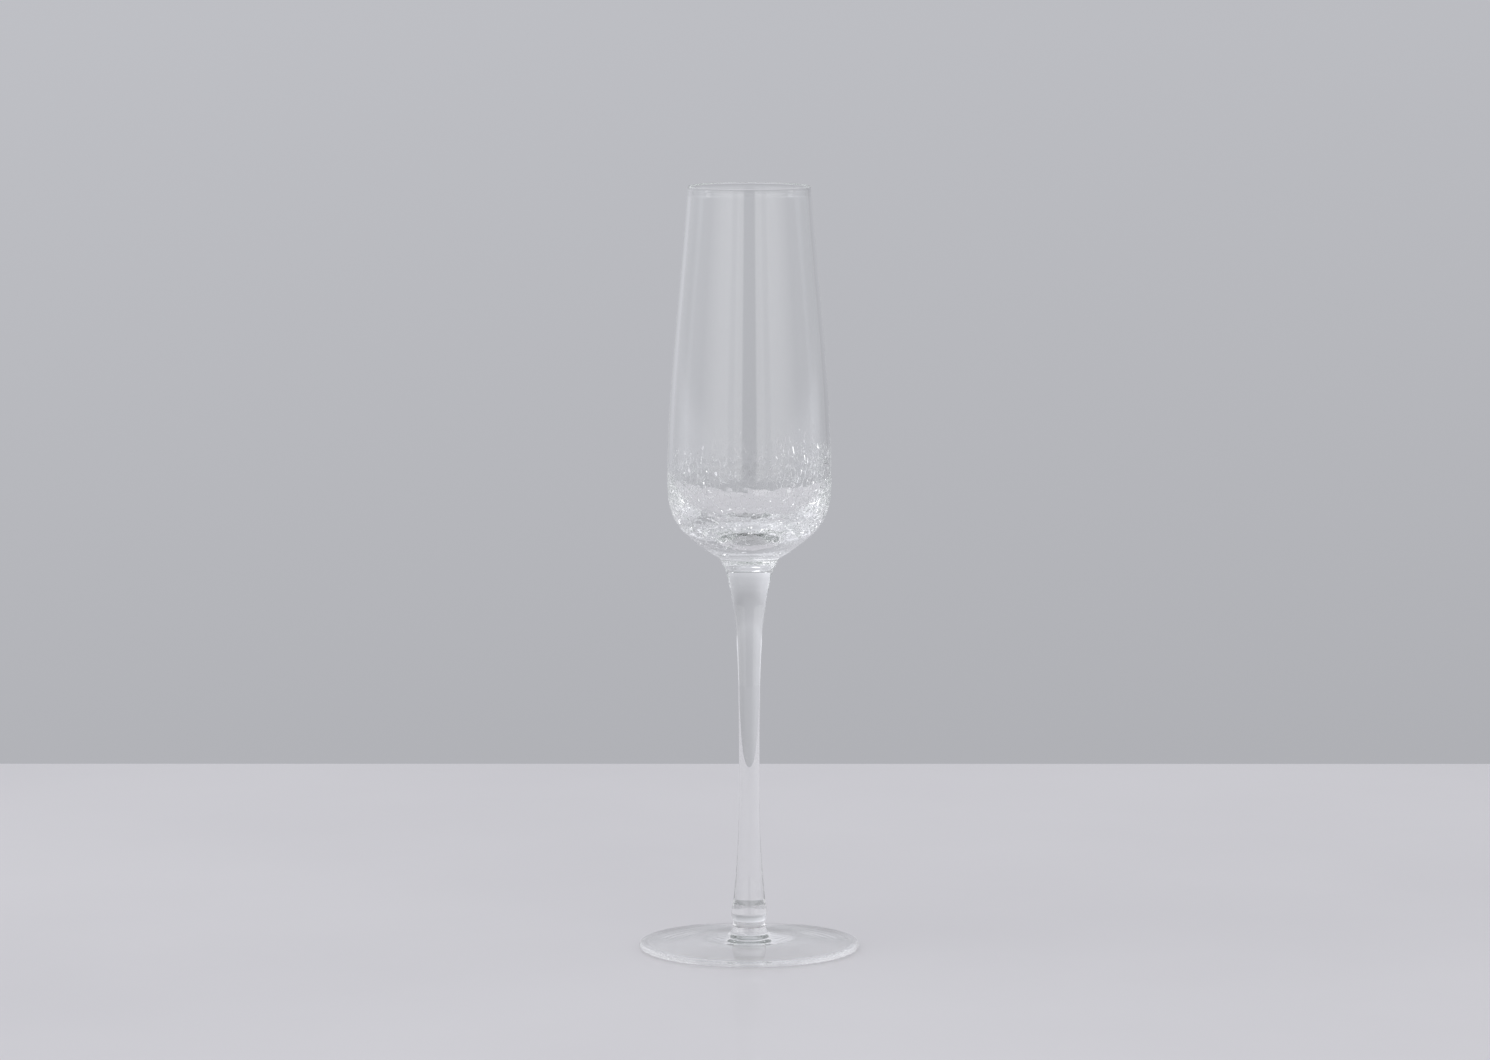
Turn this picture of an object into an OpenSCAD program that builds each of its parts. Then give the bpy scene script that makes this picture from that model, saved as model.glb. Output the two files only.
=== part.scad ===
// Champagne flute in clear glass: a crackled bowl cased in a clear gather, a drawn stem,
// a button and a foot, fused end to end. Millimetres, +Z up, origin on the table under the stem.

/* [Bowl] */
// Outside diameter of the rim
rim_d = 40.1; // [36:0.1:46]
// Outside diameter at the widest point
bowl_d = 53.5; // [50:0.1:58]
// Height of the bowl above the top of the stem
bowl_h = 124.8; // [115:0.1:140]
// Height of the widest point above the top of the stem
widest_h = 30; // [28:0.5:34]
// Wall thickness at the rim
rim_t = 1.15; // [0.9:0.05:1.5]
// Wall thickness at the widest point, casing included
wall_t = 1.6; // [1.4:0.05:2]
// How much higher the hollow is widest than the outside
hollow_rise = 3.3; // [2:0.1:5]
// Height of the bottom of the hollow above the top of the stem
hollow_h = 12; // [11.2:0.1:13]

/* [Casing] */
// Share of the wall, from the rim down, that is left bare above the casing's lip
casing_lip = 0.72; // [0.6:0.01:0.85]
// Thickness of the casing at the widest point
casing_t = 0.65; // [0.5:0.05:0.9]
// Thickness of the crackled layer under the hollow
base_t = 2.2; // [1.6:0.1:2.6]

/* [Stem] */
// Length of the stem between the casing and the button
stem_len = 110.4; // [90:0.1:130]
// Diameter at the top of the stem
stem_top_d = 15.8; // [14:0.1:17]
// Diameter at the waist of the stem
waist_d = 6.7; // [6:0.1:8]
// Diameter at the bottom of the stem
stem_low_d = 10.8; // [10:0.1:11.4]

/* [Button] */
// Diameter of the button
button_d = 12.1; // [11.6:0.1:13]
// Height of the button
button_h = 5.6; // [5:0.1:6.5]
// Diameter of the neck under the button
button_neck_d = 10.5; // [10:0.1:11]

/* [Foot] */
// Diameter of the foot
foot_d = 72; // [66:0.5:78]
// Height of the foot at its centre
foot_h = 9.2; // [8.5:0.1:10]
// Thickness of the foot at its edge
foot_edge_t = 2; // [1.6:0.1:2.4]
// Width of the ring that stands on the table
ring_w = 2; // [1.5:0.1:3]
// Rise of the underside at its centre
kick_h = 2.3; // [1.8:0.1:2.6]
// Diameter of the level middle of the underside
kick_d = 26; // [22:0.5:30]

/* [Hidden] */
$fn = 96;

clear_glass = [0.86, 0.89, 0.89];
crackled_glass = [0.93, 0.95, 0.95];

rim_r = rim_d / 2;
bowl_r = bowl_d / 2;
stem_top_r = stem_top_d / 2;
waist_r = waist_d / 2;
stem_low_r = stem_low_d / 2;
button_r = button_d / 2;
button_neck_r = button_neck_d / 2;
foot_r = foot_d / 2;
kick_r = kick_d / 2;

button_z = foot_h;
stem_z = button_z + button_h;
bowl_z = stem_z + stem_len;
rim_z = bowl_z + bowl_h;
widest_z = bowl_z + widest_h;
hollow_z = bowl_z + hollow_h;
hollow_widest_z = widest_z + hollow_rise;
wall_h = rim_z - widest_z;
inner_wall_h = rim_z - hollow_widest_z;

// Where the cone under the bowl turns down into the neck
neck_r = stem_top_r + 2.3;
neck_z = bowl_z + 3.7;

// Where the top of the foot leaves the hub, and the height of the foot there
hub_r = 7.4;
hub_z = 4.85;

// Points on each curve of an outline
wall_steps = 24;
base_steps = 22;
short_steps = 8;
edge_steps = 6;

// A cubic curve is four points: an end, the handles of both ends, and the other end.
// The wall and the base of the bowl, outside
outer_wall = [
    [rim_r, rim_z],
    [rim_r + 0.24 * (bowl_r - rim_r), rim_z - 0.292 * wall_h],
    [bowl_r, widest_z + 0.312 * wall_h],
    [bowl_r, widest_z]
];
outer_base = [
    [bowl_r, widest_z],
    [bowl_r, widest_z - 0.49 * (widest_z - neck_z)],
    [neck_r + 0.87 * (bowl_r - neck_r), neck_z + 0.335 * (widest_z - neck_z)],
    [neck_r, neck_z]
];
neck = [
    [neck_r, neck_z],
    [neck_r - 0.9, neck_z - 0.54],
    [stem_top_r + 0.75, bowl_z + 0.9],
    [stem_top_r, bowl_z]
];

// The wall and the base of the hollow
hollow_r = bowl_r - wall_t;
inner_wall = [
    [rim_r - rim_t, rim_z],
    [rim_r - rim_t + 0.24 * (hollow_r - rim_r + rim_t), rim_z - 0.292 * inner_wall_h],
    [hollow_r, hollow_widest_z + 0.312 * inner_wall_h],
    [hollow_r, hollow_widest_z]
];
inner_base = [
    [hollow_r, hollow_widest_z],
    [hollow_r, hollow_widest_z - 0.56 * (hollow_widest_z - hollow_z)],
    [0.8 * hollow_r, hollow_z + 0.05 * (hollow_widest_z - hollow_z)],
    [0, hollow_z]
];

// The face between the crackled layer and the casing: it leaves the outside of the wall at the lip
lip = curve_point(outer_wall, casing_lip);
layer_r = bowl_r - casing_t;
layer_z = hollow_z - base_t;
layer_wall = [
    lip,
    lip + 0.3 * (curve_point(outer_wall, 1) - lip) + [0.15, 0],
    [layer_r, widest_z + 0.45 * (lip[1] - widest_z)],
    [layer_r, widest_z]
];
layer_base = [
    [layer_r, widest_z],
    [layer_r, widest_z - 0.5 * (widest_z - layer_z)],
    [0.72 * layer_r, layer_z + 0.06 * (widest_z - layer_z)],
    [0, layer_z]
];

// The flare, the shank and the lower swell of the stem
shank_r = waist_r + 0.7;
shank_z = bowl_z - 0.238 * stem_len;
waist_z = stem_z + 0.337 * stem_len;
stem_flare = [
    [stem_top_r, bowl_z],
    [stem_top_r - 0.9, bowl_z - 2.6],
    [shank_r + 0.55, shank_z + 13],
    [shank_r, shank_z]
];
stem_shank = [
    [shank_r, shank_z],
    [shank_r - 0.59, shank_z - 14],
    [waist_r, waist_z + 18],
    [waist_r, waist_z]
];
stem_swell = [
    [waist_r, waist_z],
    [waist_r, waist_z - 0.443 * (waist_z - stem_z)],
    [stem_low_r - 0.92, stem_z + 0.184 * (waist_z - stem_z)],
    [stem_low_r, stem_z]
];

// The button swells from the stem and closes to its neck
button_side = [
    [stem_low_r, stem_z],
    [stem_low_r + 0.4, stem_z - 0.39 * button_h],
    [button_r + 0.35, button_z + 0.3 * button_h],
    [button_neck_r, button_z]
];

// The hub and the top of the foot, from the neck out to the edge
foot_hub = [
    [button_neck_r, button_z],
    [button_neck_r + 0.05, button_z - 2.6],
    [hub_r - 1.7, hub_z + 0.1],
    [hub_r, hub_z]
];
foot_top = [
    [hub_r, hub_z],
    [hub_r + 5, hub_z - 0.55],
    [foot_r - 10, foot_edge_t + 1],
    [foot_r - 0.5 * foot_edge_t, foot_edge_t]
];
// The underside, from the standing ring in to its level middle
foot_underside = [
    [foot_r - 0.5 * foot_edge_t - ring_w, 0],
    [foot_r - 0.5 * foot_edge_t - ring_w - 7, 0.9],
    [kick_r + 4.5, kick_h],
    [kick_r, kick_h]
];

function curve_point(c, t) =
    pow(1 - t, 3) * c[0] + 3 * pow(1 - t, 2) * t * c[1] + 3 * (1 - t) * t * t * c[2] + t * t * t * c[3];

// Points along a cubic curve between two of its parameters, ends included
function curve(c, steps, from = 0, to = 1) =
    [for (i = [0 : steps]) curve_point(c, from + (to - from) * i / steps)];

// The same points without the first, to follow on from a curve that ends there
function onward(c, steps, from = 0, to = 1) =
    [for (i = [1 : steps]) curve_point(c, from + (to - from) * i / steps)];

function backward(points) = [for (i = [len(points) - 1 : -1 : 0]) points[i]];

// Points inside a round arc, ends left out
function arc_inside(centre, r, start, end, steps) =
    [for (i = [1 : steps - 1]) let (a = start + (end - start) * i / steps)
        centre + r * [cos(a), sin(a)]];

// The rounded lip of the rim, from the outside over to the inside
function rim_round() = arc_inside([rim_r - rim_t / 2, rim_z - rim_t / 2], rim_t / 2, 0, 180, 2 * edge_steps);

// The wall curves run up to the height where the rim's rounding starts
rim_share = 0.5 * rim_t / (0.876 * wall_h);
inner_rim_share = 0.5 * rim_t / (0.876 * inner_wall_h);

module turned(outline) {
    rotate_extrude() polygon(outline);
}

// The crackled vessel: the whole hollow, the bare upper wall and the rounded rim
module bowl() {
    color(crackled_glass)
    turned(concat(
        backward(curve(outer_wall, wall_steps, rim_share, casing_lip)),
        rim_round(),
        curve(inner_wall, wall_steps, inner_rim_share, 1),
        onward(inner_base, base_steps),
        backward(curve(layer_base, base_steps)),
        backward(curve(layer_wall, short_steps, 1 / short_steps, 1 - 1 / short_steps))
    ));
}

// The clear gather round the lower bowl, with the neck that takes the stem
module bowl_casing() {
    color(clear_glass)
    turned(concat(
        curve(outer_wall, short_steps, casing_lip, 1),
        onward(outer_base, base_steps),
        onward(neck, short_steps),
        [[0, bowl_z]],
        backward(curve(layer_base, base_steps)),
        backward(curve(layer_wall, short_steps, 1 / short_steps, 1 - 1 / short_steps))
    ));
}

module stem() {
    color(clear_glass)
    turned(concat(
        curve(stem_flare, short_steps),
        onward(stem_shank, short_steps),
        onward(stem_swell, short_steps),
        [[0, stem_z], [0, bowl_z]]
    ));
}

module stem_button() {
    color(clear_glass)
    turned(concat(
        curve(button_side, short_steps),
        [[0, button_z], [0, stem_z]]
    ));
}

// The foot is a thin cone on a flat ring, hollow underneath, with the hub standing up from its middle
module foot() {
    edge_r = foot_edge_t / 2;
    color(clear_glass)
    turned(concat(
        curve(foot_hub, short_steps),
        onward(foot_top, base_steps),
        arc_inside([foot_r - edge_r, edge_r], edge_r, 90, -90, 2 * edge_steps),
        [[foot_r - edge_r, 0]],
        curve(foot_underside, base_steps),
        [[0, kick_h], [0, foot_h]]
    ));
}

bowl();
bowl_casing();
stem();
stem_button();
foot();
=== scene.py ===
import math
import random

import bpy
import numpy as np
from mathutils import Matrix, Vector, geometry, kdtree


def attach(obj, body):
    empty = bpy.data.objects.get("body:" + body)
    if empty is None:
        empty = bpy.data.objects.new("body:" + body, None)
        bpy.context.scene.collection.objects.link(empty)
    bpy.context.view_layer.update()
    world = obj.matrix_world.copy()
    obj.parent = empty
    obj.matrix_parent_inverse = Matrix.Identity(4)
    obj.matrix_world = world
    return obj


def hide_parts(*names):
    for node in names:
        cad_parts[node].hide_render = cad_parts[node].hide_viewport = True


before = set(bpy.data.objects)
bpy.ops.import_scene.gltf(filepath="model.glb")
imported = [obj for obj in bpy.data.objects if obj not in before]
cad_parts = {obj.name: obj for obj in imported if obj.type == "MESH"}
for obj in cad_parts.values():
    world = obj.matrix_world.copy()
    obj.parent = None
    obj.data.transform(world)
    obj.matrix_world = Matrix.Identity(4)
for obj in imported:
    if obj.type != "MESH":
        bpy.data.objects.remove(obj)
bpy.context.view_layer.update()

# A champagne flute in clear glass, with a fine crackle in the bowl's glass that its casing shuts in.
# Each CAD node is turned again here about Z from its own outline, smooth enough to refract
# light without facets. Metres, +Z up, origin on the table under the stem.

MM = 0.001
SEED = 11
TINY = 1e-7                        # a length under this is taken as none
NO_AREA = 1e-12                    # a triangle under this has no centre

# Reading the CAD outlines
SAME_RING = 0.02 * MM              # vertices this close in radius and height are on one ring
STRAIGHT = 0.0003 * MM             # a ring this near the line between its neighbours adds nothing
CORNER = math.radians(40)          # a sharper turn than this ends a smooth stretch

# Turning the pieces
SPLINE_SAMPLES = 24                # places tried along each span of an outline
LONG_STEP = 1.1 * MM               # longest step along a fused face, and on the bowl above the crackle
FINE_STEP = 0.5 * MM               # longest step on the bowl beside the crackle
STEM_STEP = 0.5 * MM               # longest step on the outside of the other pieces
STEP_BLEND = 6 * MM                # height over which the steps on the bowl go from fine to long
STEP_TURN = math.radians(3.5)      # largest turn in one step
FUSED_GAP = 0.002 * MM             # each fused face is set back this far, so that rays meet two in order
SEGMENTS = {"bowl": 240, "bowl_casing": 224, "stem": 96, "stem_button": 128, "foot": 256}

# The cells of the crackle, on the layer: the face between the bowl's glass and its casing
CELL = 2.0 * MM                    # width of a cell
CELL_APART = 0.7                   # how close the middles of two cells may be, in widths of a cell
CELL_STRETCH = 2.0                 # how much longer than wide the cells are on the wall
CELL_TRIES = 40000                 # tries at placing a cell at random
LAYER_SAMPLES = 600                # places along the layer where its area is summed up
WALL_POWER = 3                     # how late the bottom becomes the wall, as a power of the radius
MIN_RADIUS = 0.2 * MM              # inside this radius the layer isn't laid flat to scale

# Where the crackle is, and where it fades out
CRACKLE_START = 1.0 * MM           # from the axis
CRACKLE_TOP = 168 * MM             # height where it has faded out
CRACKLE_TOP_VARIES = 3 * MM        # how far that height goes up and down round the bowl
CRACKLE_FADE = 11 * MM             # height over which it fades
CRACKLE_END = CRACKLE_TOP + 2 * CRACKLE_TOP_VARIES    # clear of it all round
CELLS_END = CRACKLE_TOP + 3 * CRACKLE_TOP_VARIES      # the cells go on a little above it

# The cracks. What is left at the top is a share of what there is where the crackle is full.
CRACK_DEPTH = (0.25 * MM, 0.8 * MM)    # least and most
CRACK_DEPTH_AT_TOP = 0.5
CRACK_WIDTH = (0.03 * MM, 0.12 * MM)
CRACK_WIDTH_AT_TOP = 0.35
CRACK_TAPER = 0.7                  # under 1, a crack stays wide and deep nearly to its ends
CRACK_BEND = 0.2                   # how far a crack bends aside, as a share of its length
CRACK_LEAN = 0.2                   # how far a crack leans in the glass, in radians
CRACK_COVER = 0.03 * MM            # glass between a crack and the casing
CRACK_CLEAR = 0.2 * MM             # glass between a crack and the hollow
CRACK_STATIONS = 5                 # cross-sections of a crack between its two ends
CRACKED_AT_TOP = 0.15              # share of the cell borders that have cracked, against lower down
CRACKED_AT_AXIS = 0.2              # the same near the axis, against the wall
CRACKED_POWER = 2.5                # how late that share grows from the axis to the wall

# The crackled wall swells into the hollow over each cell
PILLOW = 0.05 * MM                 # height of a swell at its middle
PILLOW_WIDTH = 0.42                # in widths of a cell
PILLOW_LIFT = 1.1 * MM             # from the middle of a cell to the middle of its swell
PILLOW_CELLS = 5                   # cells that reach one place

# The materials
GLASS_TINT = (0.994, 0.997, 0.996)
GLASS_IOR = 1.52
RIPPLE_SCALE = 160.0
RIPPLE_DETAIL = 1.0
RIPPLE_HEIGHT = 0.004 * MM
# Painted shade: the crack walls take a share of the light that crosses them, which dims the crackled
# bottom of the bowl, where rays cross many cracks
CRACK_SHADE_TINT = (0.88, 0.9, 0.88)
JOINT_TINT = (0.74, 0.755, 0.745)  # stands for what solid glass takes from light that it guides along
WHITE = (1, 1, 1)
STONE_DARK = (0.4015, 0.3945, 0.411)
STONE_PALE = (0.44, 0.433, 0.4485)
STONE_CLOUD_SCALE = 3.0
STONE_CLOUD_DETAIL = 6.0
STONE_CLOUD_ENDS = (0.3, 0.7)      # where in the cloud it is darkest and palest
STONE_GLOW = 0.62                  # the slab is lit from below as well, so that it shows no hard shadow

# The light of the room in a direction: that by its height, times the sum of that by its side and that of
# the walls, times that by its depth. A row is how far the direction goes that way, and the light there.
ROOM_BY_HEIGHT = [(-0.50, 0.62), (-0.38, 0.62), (-0.355, 0.41), (-0.154, 0.436), (-0.026, 0.510),
                  (0.0, 0.46), (0.06, 0.42), (0.12, 0.52), (0.25, 0.65), (0.33, 0.76), (0.40, 0.72),
                  (0.50, 0.60), (0.78, 0.55), (0.84, 0.68), (1.0, 0.68)]
ROOM_BY_SIDE = [(-1.0, 1.2), (-0.5, 1.2), (-0.13, 1.021), (0.13, 0.979), (0.5, 0.88), (1.0, 0.88)]
ROOM_BY_DEPTH = [(-0.98, 0.4), (-0.9, 0.8), (0.0, 0.95), (0.3, 1.0), (1.0, 1.0)]
WALLS_BY_SIDE = [(-1.0, 1.0), (-0.92, 0.8), (-0.8, 0), (0.8, 0), (0.92, 1.0), (1.0, 1.2)]
WALLS_BY_HEIGHT = [(-0.3, 1.0), (-0.03, 1.0), (0.0, 0.1), (0.6, 0.1)]
ROOM_TINT = (1, 1.012, 1.075)

# The lights: place, target, width and height, and light. Those at the sides are given for the right.
SOFTBOX = ((1.28, -1.42, 0.35), (0, 0, 0.25), (2.5, 1.9), 0.9)
SOFTBOX_FADE = [(0, 0), (0.05, 1), (0.2, 1), (0.25, 0.6), (0.33, 0.6), (0.38, 0.95), (0.6, 0.8), (1, 0)]
LAMP_ABOVE = ((-0.35, -0.25, 1.5), (0, 0, 0), (0.45, 0.45), 1.5)
LAMP_AT_SIDE = ((1.5, -0.15, 0.6), (0, 0, 0.15), (0.3, 0.5), 1.5)

# The slab, the camera and the render
SLAB_X = (-1.6, 1.6)
SLAB_Y = (-1.7, 0.388)
SLAB_Z = -0.1 * MM                 # just under the foot, so that their faces aren't in one place
EYE = Vector((0, -1.915, 0.362))
AIM = Vector((-0.0014, 0, 0.1379))
LENS = 143.1                       # in millimetres
VIEW_END = 50                      # how far the camera sees
LIGHT_BOUNCES = 400                # enough for light that glass walls guide along to find its way out

scene = bpy.context.scene


# ---------------------------------------------------------------- outlines

def edge_ends(mesh):
    """The numbers of the two vertices of each edge."""
    ends = np.empty(2 * len(mesh.edges), int)
    mesh.edges.foreach_get("vertices", ends)
    return ends.reshape(-1, 2)


def rings_in_order(node):
    """The rings of a turned CAD node as (radius, height), in the order of its outline from end to end."""
    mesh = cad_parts[node].data
    places = np.empty(3 * len(mesh.vertices), np.float32)
    mesh.vertices.foreach_get("co", places)
    places = places.reshape(-1, 3).astype(float)
    flat = np.column_stack((np.hypot(places[:, 0], places[:, 1]), places[:, 2]))
    cells, group = np.unique(np.round(flat / SAME_RING), axis=0, return_inverse=True)
    group = group.ravel()
    rings = np.array([flat[group == g].mean(0) for g in range(len(cells))])
    # Rounding can split a ring, so each ring goes by the number of the first one that it is close to
    owner = [next(j for j in range(i + 1) if np.linalg.norm(rings[i] - rings[j]) < SAME_RING)
             for i in range(len(rings))]
    near = {i: set() for i in owner}
    for a, b in set(map(tuple, group[edge_ends(mesh)])):
        if owner[a] != owner[b]:
            near[owner[a]].add(owner[b])
            near[owner[b]].add(owner[a])
    loose_ends = [i for i in near if len(near[i]) == 1]
    path = [min(loose_ends, key=lambda i: (rings[i][1], rings[i][0]))]
    before = None
    while True:
        onward = [i for i in near[path[-1]] if i != before]
        if not onward:
            return rings[path]
        before = path[-1]
        path.append(onward[0])


def without_straight_rings(points):
    """The points without those that lie on the line between their neighbours."""
    kept = [points[0]]
    for i in range(1, len(points) - 1):
        a, b = kept[-1], points[i + 1]
        side = b - a
        off = abs(side[0] * (points[i] - a)[1] - side[1] * (points[i] - a)[0]) / np.linalg.norm(side)
        if off > STRAIGHT:
            kept.append(points[i])
    return np.array(kept + [points[-1]])


def outline_points(node):
    """The points of a node's outline, from the axis round to the axis, with the glass on the left."""
    points = without_straight_rings(rings_in_order(node))
    points[np.abs(points[:, 0]) < SAME_RING, 0] = 0
    if points[0][0] > 0:
        points = np.vstack(([0, points[0][1]], points))
    if points[-1][0] > 0:
        points = np.vstack((points, [0, points[-1][1]]))
    x, z = points.T
    area = (x * np.roll(z, -1) - np.roll(x, -1) * z).sum()
    return points if area > 0 else points[::-1]


def smooth_stretches(points, others):
    """Splits an outline at its corners, and where it starts or stops being fused to another piece.
    Gives each stretch's points, and whether it is fused."""
    steps = np.diff(points, axis=0)
    angle = np.arctan2(steps[:, 1], steps[:, 0])
    turn = np.abs((np.diff(angle) + math.pi) % (2 * math.pi) - math.pi)
    on_other = np.array([np.linalg.norm(others - p, axis=1).min() < SAME_RING for p in points])
    fused_step = on_other[1:] & on_other[:-1]
    cuts = [0, *(np.flatnonzero((turn > CORNER) | np.diff(fused_step)) + 1), len(points) - 1]
    return [(points[a:b + 1], bool(fused_step[a])) for a, b in zip(cuts, cuts[1:])]


def spline(points):
    """A function of 0 to len(points) - 1 that runs smoothly through the points. It is level where it
    meets the axis."""
    if len(points) == 2:
        return lambda t: points[0] + np.outer(t, points[1] - points[0])
    gap = np.linalg.norm(np.diff(points, axis=0), axis=1)[:, None]
    slope = np.diff(points, axis=0) / gap
    tangent = np.empty_like(points)
    tangent[1:-1] = (slope[:-1] * gap[1:] + slope[1:] * gap[:-1]) / (gap[:-1] + gap[1:])
    tangent[0] = 2 * slope[0] - tangent[1]
    tangent[-1] = 2 * slope[-1] - tangent[-2]
    for end in (0, -1):
        if points[end][0] == 0:
            tangent[end] = [np.sign(tangent[end][0]), 0]

    def at(t):
        i = np.minimum(t.astype(int), len(points) - 2)
        u = (t - i)[:, None]
        h = gap[i]
        return ((1 + 2 * u) * (1 - u) ** 2 * points[i] + u * (1 - u) ** 2 * h * tangent[i]
                + u * u * (3 - 2 * u) * points[i + 1] + u * u * (u - 1) * h * tangent[i + 1])
    return at


def longest_steps(node, fused, places):
    """How long a step may be at each place on a stretch of a node's outline."""
    if fused:
        return np.full(len(places), LONG_STEP)
    if node != "bowl":
        return np.full(len(places), STEM_STEP)
    low = np.clip((CRACKLE_END - places[:, 1]) / STEP_BLEND, 0, 1)
    return LONG_STEP + (FINE_STEP - LONG_STEP) * low


def resampled(points, node, fused):
    """Points along a smooth stretch, closer where it bends and where the steps have to be short."""
    curve = spline(points)
    t = np.linspace(0, len(points) - 1, SPLINE_SAMPLES * (len(points) - 1) + 1)
    dense = curve(t)
    steps = np.diff(dense, axis=0)
    length = np.linalg.norm(steps, axis=1)
    angle = np.unwrap(np.arctan2(steps[:, 1], steps[:, 0]))
    turn = np.abs(np.diff(angle, prepend=angle[0]))
    share = length / longest_steps(node, fused, dense[1:]) + turn / STEP_TURN
    cost = np.concatenate(([0], np.cumsum(share)))
    count = max(1, math.ceil(cost[-1]))
    placed = curve(np.interp(np.linspace(0, cost[-1], count + 1), cost, t))
    placed[:, 1] = placed[:, 1].clip(points[:, 1].min(), points[:, 1].max())
    return placed


def directions_along(points):
    """The unit direction in which a line of points runs, at each of its points."""
    forward = np.gradient(points, axis=0)
    return forward / np.linalg.norm(forward, axis=1)[:, None]


# ---------------------------------------------------------------- meshes

def mesh_object(name, vertices, faces, materials, face_materials=None, smooth=True):
    """A new mesh in the scene. face_materials holds the number of each face's material."""
    mesh = bpy.data.meshes.new(name)
    mesh.from_pydata(vertices, [], faces)
    for material in materials:
        mesh.materials.append(material)
    if face_materials is not None:
        mesh.polygons.foreach_set("material_index", face_materials)
    mesh.polygons.foreach_set("use_smooth", [smooth] * len(faces))
    piece = bpy.data.objects.new(name, mesh)
    scene.collection.objects.link(piece)
    return piece


def turned_rings(stretches, segments, ripple):
    """A ring of vertices for each point of the stretches, whether it is a corner of the outline, and the
    number of the material on the band that ends there."""
    angle = np.arange(segments) * 2 * math.pi / segments
    around = np.column_stack((np.cos(angle), np.sin(angle), np.zeros(segments)))
    on_axis = np.zeros((1, 3))
    rings, corner, band = [], [], []
    for number, (points, material, kind) in enumerate(stretches):
        forward = directions_along(points)
        outward = np.column_stack((forward[:, 1], -forward[:, 0]))
        last = len(points) - 1
        if kind == "fused":
            points = points.copy()
            points[1:last] -= FUSED_GAP * outward[1:last]
        for i in range(0 if number == 0 else 1, last + 1):
            spread = on_axis if points[i][0] == 0 else around
            places = points[i][0] * spread + [0, 0, points[i][1]]
            if ripple and 0 < i < last:
                normals = outward[i][0] * spread + [0, 0, outward[i][1]]
                places = places + normals * ripple(kind, places)[:, None]
            rings.append(places)
            corner.append(i in (0, last))
            band.append(material)
    return rings, corner, band


def sharpen_corners(mesh, rings, corner):
    """Marks the edges that run along a ring at a corner of the outline."""
    ring_of = np.repeat(np.arange(len(rings)), [len(ring) for ring in rings])
    a, b = ring_of[edge_ends(mesh)].T
    sharp = (a == b) & np.array(corner)[a]
    mesh.attributes.new("sharp_edge", "BOOLEAN", "EDGE").data.foreach_set("value", sharp)


def turned(name, stretches, segments, materials, ripple=None):
    """A closed mesh turned about Z from (points, material index, kind) stretches that join end to end.
    ripple(kind, places) gives how far each vertex of a ring stands out along its normal."""
    rings, corner, band = turned_rings(stretches, segments, ripple)
    start = np.concatenate(([0], np.cumsum([len(ring) for ring in rings])))
    turn = np.arange(segments)
    onward = (turn + 1) % segments
    faces, face_materials = [], []
    for i in range(len(rings) - 1):
        a, b = start[i], start[i + 1]
        if len(rings[i]) == 1:
            made = np.column_stack((np.full(segments, a), b + onward, b + turn))
        elif len(rings[i + 1]) == 1:
            made = np.column_stack((a + turn, a + onward, np.full(segments, b)))
        else:
            made = np.column_stack((a + turn, a + onward, b + onward, b + turn))
        faces += made.tolist()
        face_materials += [band[i + 1]] * segments
    piece = mesh_object(name, np.vstack(rings).tolist(), faces, materials, face_materials)
    sharpen_corners(piece.data, rings, corner)
    return piece


# ---------------------------------------------------------------- crackle

class Layer:
    """The face between the crackled glass and its casing, by the distance s along it from the axis."""

    def __init__(self, points):
        step = np.linalg.norm(np.diff(points, axis=0), axis=1)
        self.s = np.concatenate(([0], np.cumsum(step)))
        self.r, self.z = points.T
        forward = directions_along(points)
        self.n_r, self.n_z = -forward[:, 1], forward[:, 0]
        self.wall = (self.r / self.r.max()) ** WALL_POWER
        stretch = 1 + (CELL_STRETCH - 1) * self.wall
        rate = 1 / (stretch * np.maximum(self.r, MIN_RADIUS))
        grown = np.concatenate(([0], np.cumsum((rate[1:] + rate[:-1]) / 2 * step)))
        self.log_flat = grown - np.interp(CRACKLE_START, self.s, grown)

    def of(self, values, s):
        """One of the layer's rows of values, read at s."""
        return np.interp(s, self.s, values)

    def place(self, angle, s):
        """A point on the layer, and the direction from there into the crackled glass."""
        r, n_r = self.of(self.r, s), self.of(self.n_r, s)
        c, d = math.cos(angle), math.sin(angle)
        return (Vector((r * c, r * d, self.of(self.z, s))),
                Vector((n_r * c, n_r * d, self.of(self.n_z, s))))

    def flat(self, angle, s):
        """The layer laid flat. Rings become circles about the origin, and long cells become round."""
        out = math.exp(self.of(self.log_flat, s))
        return np.array((out * math.cos(angle), out * math.sin(angle)))

    def from_flat(self, x, y):
        """The (angle, s) of a point of the flat layer."""
        out = max(math.hypot(x, y), TINY)
        return math.atan2(y, x), float(np.interp(math.log(out), self.log_flat, self.s))


def grown_from(low, share):
    """A value that grows from low to 1 as the share grows from 0 to 1."""
    return low + (1 - low) * share


def crackle_fade(angle, z):
    """1 low in the bowl, 0 above the crackle."""
    top = CRACKLE_TOP + CRACKLE_TOP_VARIES * math.cos(angle)
    t = min(1, max(0, (top - z) / CRACKLE_FADE))
    return t * t * (3 - 2 * t)


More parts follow.
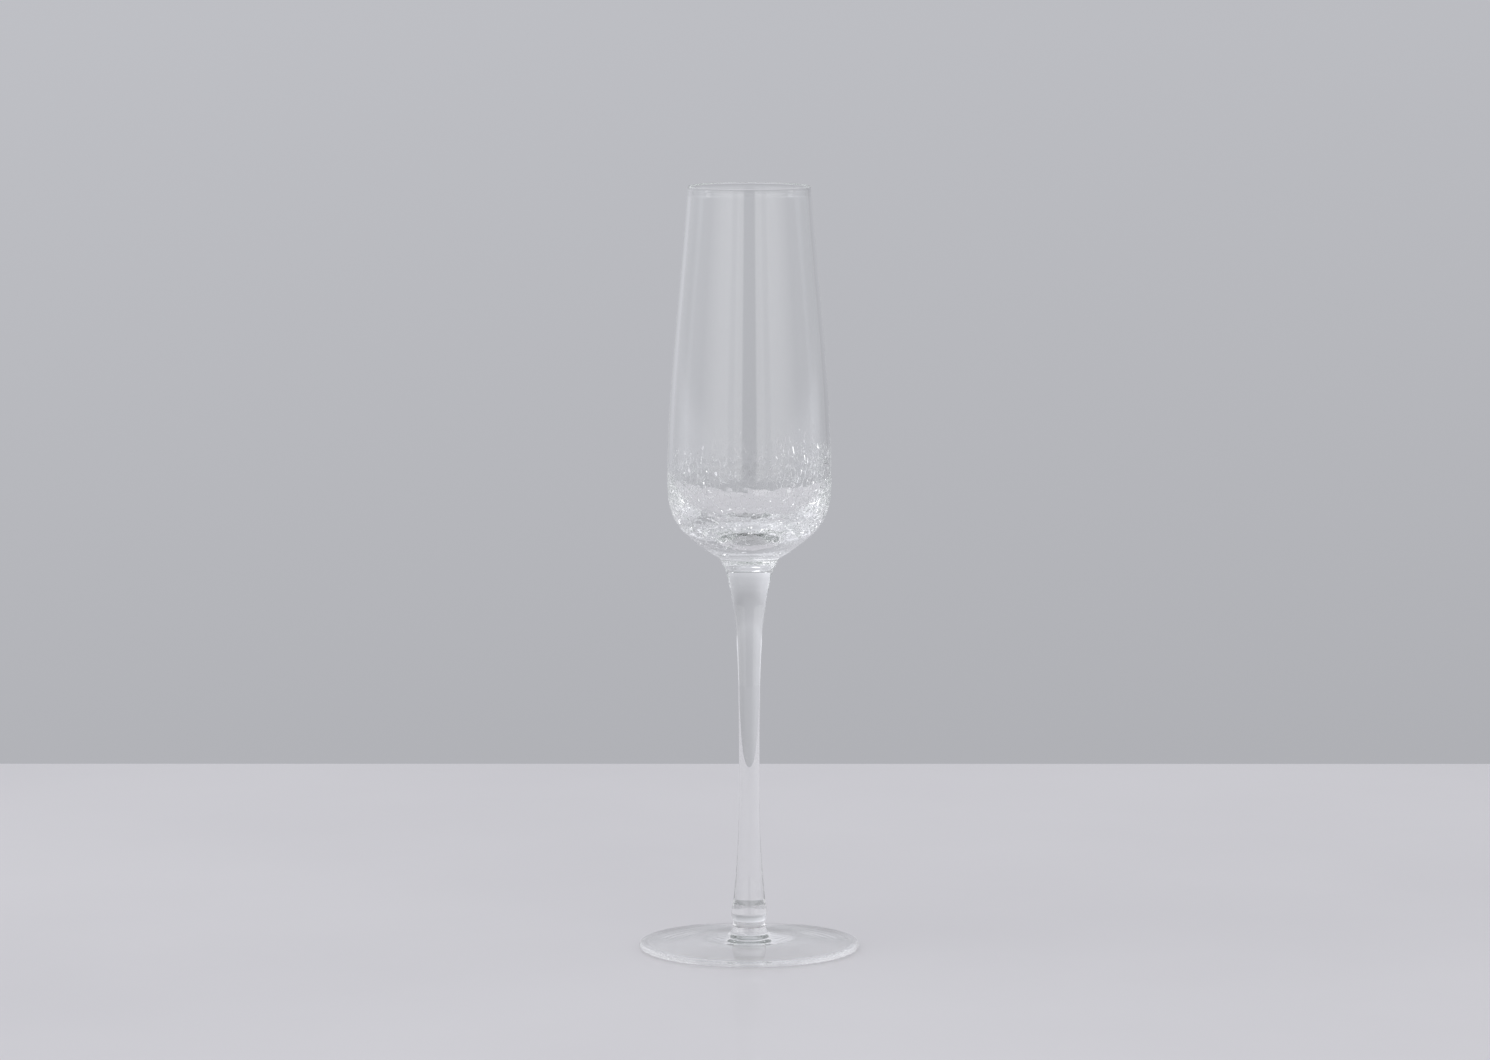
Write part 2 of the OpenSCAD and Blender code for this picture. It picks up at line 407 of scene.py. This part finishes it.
def cell_middles(layer, rng):
    """The middles of the cells, spread evenly at random, as (angle, s) and on the flat layer."""
    top = float(np.interp(CELLS_END, layer.z, layer.s))
    s = np.linspace(CRACKLE_START, top, LAYER_SAMPLES)
    share = np.cumsum(layer.of(layer.r, s))
    share /= share[-1]
    middles, flats = [], np.empty((CELL_TRIES, 2))
    for _ in range(CELL_TRIES):
        here = float(np.interp(rng.random(), share, s))
        angle = rng.uniform(-math.pi, math.pi)
        flat = layer.flat(angle, here)
        scale = layer.of(layer.r, here) / np.linalg.norm(flat)
        apart = np.hypot(*(flats[:len(middles)] - flat).T) * scale
        if not len(apart) or apart.min() > CELL_APART * CELL:
            flats[len(middles)] = flat
            middles.append((angle, here))
    return middles, flats[:len(middles)]


def cell_borders(flats):
    """The borders between cells, as pairs of (x, y) ends on the flat layer."""
    points, _, triangles, *_ = geometry.delaunay_2d_cdt([Vector(p) for p in flats], [], [], 0, TINY)
    sides = {}
    for triangle in triangles:
        a, b, c = (points[i] for i in triangle)
        ab, ac = b - a, c - a
        twice = 2 * (ab.x * ac.y - ab.y * ac.x)
        if abs(twice) < NO_AREA:
            continue
        u, v = ab.length_squared, ac.length_squared
        centre = (a.x + (ac.y * u - ab.y * v) / twice, a.y + (ab.x * v - ac.x * u) / twice)
        for i, j in ((0, 1), (1, 2), (2, 0)):
            sides.setdefault(frozenset((triangle[i], triangle[j])), []).append(centre)
    return [pair for pair in sides.values() if len(pair) == 2]


def crack_vertices(layer, start, end, fade, thickness, rng):
    """One crack between two points of the flat layer: a sliver of air, widest next to the casing, that
    narrows into the crackled glass and to both its ends. A crack of no length has no vertices."""
    start, end = np.array(start), np.array(end)
    aside = np.array((start[1] - end[1], end[0] - start[0])) * rng.uniform(-CRACK_BEND, CRACK_BEND)
    depth = min(rng.uniform(*CRACK_DEPTH), thickness - CRACK_CLEAR) * grown_from(CRACK_DEPTH_AT_TOP, fade)
    width = rng.uniform(*CRACK_WIDTH) * grown_from(CRACK_WIDTH_AT_TOP, fade)
    lean = rng.uniform(-CRACK_LEAN, CRACK_LEAN)
    last = CRACK_STATIONS + 1
    shares = [k / last for k in range(last + 1)]
    bent = [start + (end - start) * t + aside * math.sin(math.pi * t) for t in shares]
    stations = [layer.place(*layer.from_flat(*flat)) for flat in bent]
    vertices = []
    for k, (place, inward) in enumerate(stations):
        along = stations[min(k + 1, last)][0] - stations[max(k - 1, 0)][0]
        if along.length < TINY:
            return []
        root = place + inward * CRACK_COVER
        if k in (0, last):
            vertices.append(root)
            continue
        sideways = inward.cross(along.normalized()).normalized()
        swell = math.sin(math.pi * shares[k]) ** CRACK_TAPER
        half = 0.5 * width * swell
        tip = root + (inward * math.cos(lean) + sideways * math.sin(lean)) * depth * swell
        vertices += [root - sideways * half, root + sideways * half, tip]
    return vertices


def crack_faces():
    """The faces of any crack, turned into the air inside it: three rows that meet at both its ends."""
    last = 1 + 3 * CRACK_STATIONS
    faces = []
    for side in range(3):
        following = (side + 1) % 3
        faces.append((0, 1 + side, 1 + following))
        for k in range(CRACK_STATIONS - 1):
            a, b = 1 + 3 * k, 4 + 3 * k
            faces.append((a + side, b + side, b + following, a + following))
        faces.append((last, last - 3 + following, last - 3 + side))
    return faces


def crackle(layer, borders, thickness_at, material, rng):
    """All the cracks as one piece."""
    vertices, faces = [], []
    for start, end in borders:
        angle, s = layer.from_flat((start[0] + end[0]) / 2, (start[1] + end[1]) / 2)
        if s < CRACKLE_START:
            continue
        z = float(layer.of(layer.z, s))
        fade = crackle_fade(angle, z)
        wall = float(layer.of(layer.wall, s)) ** CRACKED_POWER
        cracked = grown_from(CRACKED_AT_TOP, fade) * grown_from(CRACKED_AT_AXIS, wall)
        if rng.random() > cracked or fade <= 0:
            continue
        made = crack_vertices(layer, start, end, fade, thickness_at(z), rng)
        if made:
            faces += [tuple(len(vertices) + i for i in face) for face in crack_faces()]
            vertices += made
    return mesh_object("bowl_crackle", vertices, faces, [material], smooth=False)


# ---------------------------------------------------------------- materials

def node_material(name):
    """A material, its node tree and its shader."""
    material = bpy.data.materials.new(name)
    material.use_nodes = True
    return material, material.node_tree, material.node_tree.nodes["Principled BSDF"]


def clouds(tree, scale, detail):
    """Smooth noise over an object."""
    place = tree.nodes.new("ShaderNodeTexCoord")
    noise = tree.nodes.new("ShaderNodeTexNoise")
    noise.inputs["Scale"].default_value = scale
    noise.inputs["Detail"].default_value = detail
    tree.links.new(place.outputs["Object"], noise.inputs["Vector"])
    return noise.outputs["Fac"]


def see_through(name, tint, ior, rippled=False):
    """Polished glass, or with an IOR of 1 the face between two gathers that have melted together,
    which light passes unbent. The tools leave faint ripples on an outside face."""
    material, tree, shader = node_material(name)
    shader.inputs["Base Color"].default_value = (*tint, 1)
    shader.inputs["Roughness"].default_value = 0.0
    shader.inputs["IOR"].default_value = ior
    shader.inputs["Transmission Weight"].default_value = 1.0
    if rippled:
        bump = tree.nodes.new("ShaderNodeBump")
        bump.inputs["Distance"].default_value = RIPPLE_HEIGHT
        tree.links.new(clouds(tree, RIPPLE_SCALE, RIPPLE_DETAIL), bump.inputs["Height"])
        tree.links.new(bump.outputs["Normal"], shader.inputs["Normal"])
    return material


def stone(name):
    """Pale honed stone with a soft gloss and a faint cloud in it."""
    material, tree, shader = node_material(name)
    ramp = tree.nodes.new("ShaderNodeValToRGB")
    colours = (STONE_DARK, STONE_PALE)
    for stop, position, colour in zip(ramp.color_ramp.elements, STONE_CLOUD_ENDS, colours):
        stop.position = position
        stop.color = (*colour, 1)
    tree.links.new(clouds(tree, STONE_CLOUD_SCALE, STONE_CLOUD_DETAIL), ramp.inputs["Fac"])
    tree.links.new(ramp.outputs["Color"], shader.inputs["Base Color"])
    tree.links.new(ramp.outputs["Color"], shader.inputs["Emission Color"])
    shader.inputs["Emission Strength"].default_value = STONE_GLOW
    shader.inputs["Roughness"].default_value = 0.5
    shader.inputs["Specular IOR Level"].default_value = 0.3
    shader.inputs["Coat Weight"].default_value = 0.3
    shader.inputs["Coat Roughness"].default_value = 0.05
    return material


# ---------------------------------------------------------------- the flute

rng = random.Random(SEED)
skin = see_through("clear_glass", GLASS_TINT, GLASS_IOR, rippled=True)
crackled = see_through("crackled_glass", GLASS_TINT, GLASS_IOR, rippled=True)
# The crack walls carry a dark tint, painted shade on the light that crosses them
crack_wall = see_through("crack_wall", CRACK_SHADE_TINT, GLASS_IOR)
fused = see_through("fused_glass", WHITE, 1.0)
joint = see_through("fused_joint", JOINT_TINT, 1.0)

outlines = {name: outline_points(name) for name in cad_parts}


def stretches_of(node):
    """A node's outline as smooth stretches, each with its material's number and what kind of face it is.
    The numbers are 0 for an outside face, 1 for a fused one and 2 for a level fused one."""
    others = np.vstack([outlines[name] for name in outlines if name != node])
    made = []
    for points, joined in smooth_stretches(outlines[node], others):
        level = joined and np.ptp(points[:, 1]) < SAME_RING
        kind = "fused" if joined else "skin"
        made.append((resampled(points, node, joined), 2 if level else int(joined), kind))
    return made


stretches = {node: stretches_of(node) for node in outlines}
layer_points = next(points for points, _, kind in stretches["bowl"] if kind == "fused")
if layer_points[0][0] > 0:
    layer_points = layer_points[::-1]
layer = Layer(layer_points)
middles, flats = cell_middles(layer, rng)
borders = cell_borders(flats)

# The bare wall, the rim and the hollow are one stretch
bowl_skin = next(points for points, _, kind in stretches["bowl"] if kind == "skin")
swells = kdtree.KDTree(len(middles))
for number, (angle, s) in enumerate(middles):
    place, inward = layer.place(angle, s)
    swells.insert(place + inward * PILLOW_LIFT, number)
swells.balance()


def thickness_at(z):
    """Thickness of the crackled glass, from a height on its fused face."""
    here = np.array((float(np.interp(z, layer.z, layer.r)), z))
    return np.linalg.norm(bowl_skin - here, axis=1).min()


def pillows(kind, places):
    """How far each place on a ring of the bowl stands out, with a swell over each cell of the crackle."""
    if kind == "fused" or places[0][2] > CRACKLE_END:
        return np.zeros(len(places))
    out = np.empty(len(places))
    for i, place in enumerate(places):
        fade = crackle_fade(math.atan2(place[1], place[0]), place[2])
        total = 0.0
        if fade > 0:
            for _, _, distance in swells.find_n(place, PILLOW_CELLS):
                total += math.exp(-(distance / (PILLOW_WIDTH * CELL)) ** 2)
        out[i] = PILLOW * fade * total
    return out


for node, rows in stretches.items():
    skin_here = crackled if node == "bowl" else skin
    piece = turned(node + "_glass", rows, SEGMENTS[node], [skin_here, fused, joint],
                   pillows if node == "bowl" else None)
    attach(piece, "root")
    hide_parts(node)

cracks = crackle(layer, borders, thickness_at, crack_wall, rng)
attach(cracks, "root")


# ---------------------------------------------------------------- the studio

def slab_corners():
    (left, right), (front, back) = SLAB_X, SLAB_Y
    corners = ((left, front), (right, front), (right, back), (left, back))
    return [(x, y, SLAB_Z) for x, y in corners]


def graded(tree, value, stops, tint=WHITE):
    """The light that rows of (value, light) give for a value, as a colour with a tint."""
    low, high = stops[0][0], stops[-1][0]
    spread = tree.nodes.new("ShaderNodeMapRange")
    spread.inputs["From Min"].default_value = low
    spread.inputs["From Max"].default_value = high
    ramp = tree.nodes.new("ShaderNodeValToRGB")
    while len(ramp.color_ramp.elements) < len(stops):
        ramp.color_ramp.elements.new(0.5)
    for stop, (at, light) in zip(ramp.color_ramp.elements, stops):
        stop.position = (at - low) / (high - low)
        stop.color = (*(light * share for share in tint), 1)
    tree.links.new(value, spread.inputs["Value"])
    tree.links.new(spread.outputs["Result"], ramp.inputs["Fac"])
    return ramp.outputs["Color"]


def combined(tree, operation, first, second):
    """Two values put together by a named operation."""
    node = tree.nodes.new("ShaderNodeMath")
    node.operation = operation
    tree.links.new(first, node.inputs[0])
    tree.links.new(second, node.inputs[1])
    return node.outputs["Value"]


def backdrop():
    """A plain grey room: darker behind the camera, brighter to the left, with bright low walls far out
    at both sides."""
    world = bpy.data.worlds.new("studio")
    scene.world = world
    world.use_nodes = True
    tree = world.node_tree
    place = tree.nodes.new("ShaderNodeTexCoord")
    split = tree.nodes.new("ShaderNodeSeparateXYZ")
    tree.links.new(place.outputs["Generated"], split.inputs["Vector"])
    x, y, z = (split.outputs[axis] for axis in "XYZ")
    walls = combined(tree, "MULTIPLY", graded(tree, x, WALLS_BY_SIDE), graded(tree, z, WALLS_BY_HEIGHT))
    across = combined(tree, "ADD", graded(tree, x, ROOM_BY_SIDE), walls)
    light = combined(tree, "MULTIPLY", across, graded(tree, y, ROOM_BY_DEPTH))
    shade = tree.nodes["Background"]
    tree.links.new(graded(tree, z, ROOM_BY_HEIGHT, ROOM_TINT), shade.inputs["Color"])
    tree.links.new(light, shade.inputs["Strength"])


def area_light(name, place, target, size, light, fade=None):
    """A rectangular light that the camera sees only by way of the glass and the slab. fade gives its
    light from left to right, as rows of (share of the width, share of the light)."""
    lamp = bpy.data.lights.new(name, "AREA")
    lamp.shape = "RECTANGLE"
    width, height = size
    lamp.size = width
    lamp.size_y = height
    lamp.energy = math.pi * light * width * height
    if fade:
        lamp.use_nodes = True
        tree = lamp.node_tree
        surface = tree.nodes.new("ShaderNodeNewGeometry")
        split = tree.nodes.new("ShaderNodeSeparateXYZ")
        tree.links.new(surface.outputs["Parametric"], split.inputs["Vector"])
        tree.links.new(graded(tree, split.outputs["X"], fade), tree.nodes["Emission"].inputs["Strength"])
    box = bpy.data.objects.new(name, lamp)
    scene.collection.objects.link(box)
    box.location = place
    box.rotation_euler = (Vector(target) - Vector(place)).to_track_quat("-Z", "Y").to_euler()
    box.visible_camera = False


def on_the_left(row):
    """The row of a light at the right side, moved across to the left."""
    (x, y, z), *others = row
    return ((-x, y, z), *others)


floor = mesh_object("floor", slab_corners(), [(0, 1, 2, 3)], [stone("stone")])

backdrop()
mirrored_fade = [(1 - at, share) for at, share in reversed(SOFTBOX_FADE)]
area_light("softbox_left", *on_the_left(SOFTBOX), mirrored_fade)
area_light("softbox_right", *SOFTBOX, SOFTBOX_FADE)
area_light("lamp_above", *LAMP_ABOVE)
area_light("lamp_left", *on_the_left(LAMP_AT_SIDE))
area_light("lamp_right", *LAMP_AT_SIDE)

camera = bpy.data.objects.new("camera", bpy.data.cameras.new("camera"))
scene.collection.objects.link(camera)
camera.data.lens = LENS
camera.data.clip_end = VIEW_END
camera.location = EYE
camera.rotation_euler = (AIM - EYE).to_track_quat("-Z", "Y").to_euler()
bpy.context.scene.camera = camera

scene.view_settings.view_transform = "Standard"
scene.cycles.max_bounces = LIGHT_BOUNCES
scene.cycles.transmission_bounces = LIGHT_BOUNCES
scene.cycles.glossy_bounces = LIGHT_BOUNCES
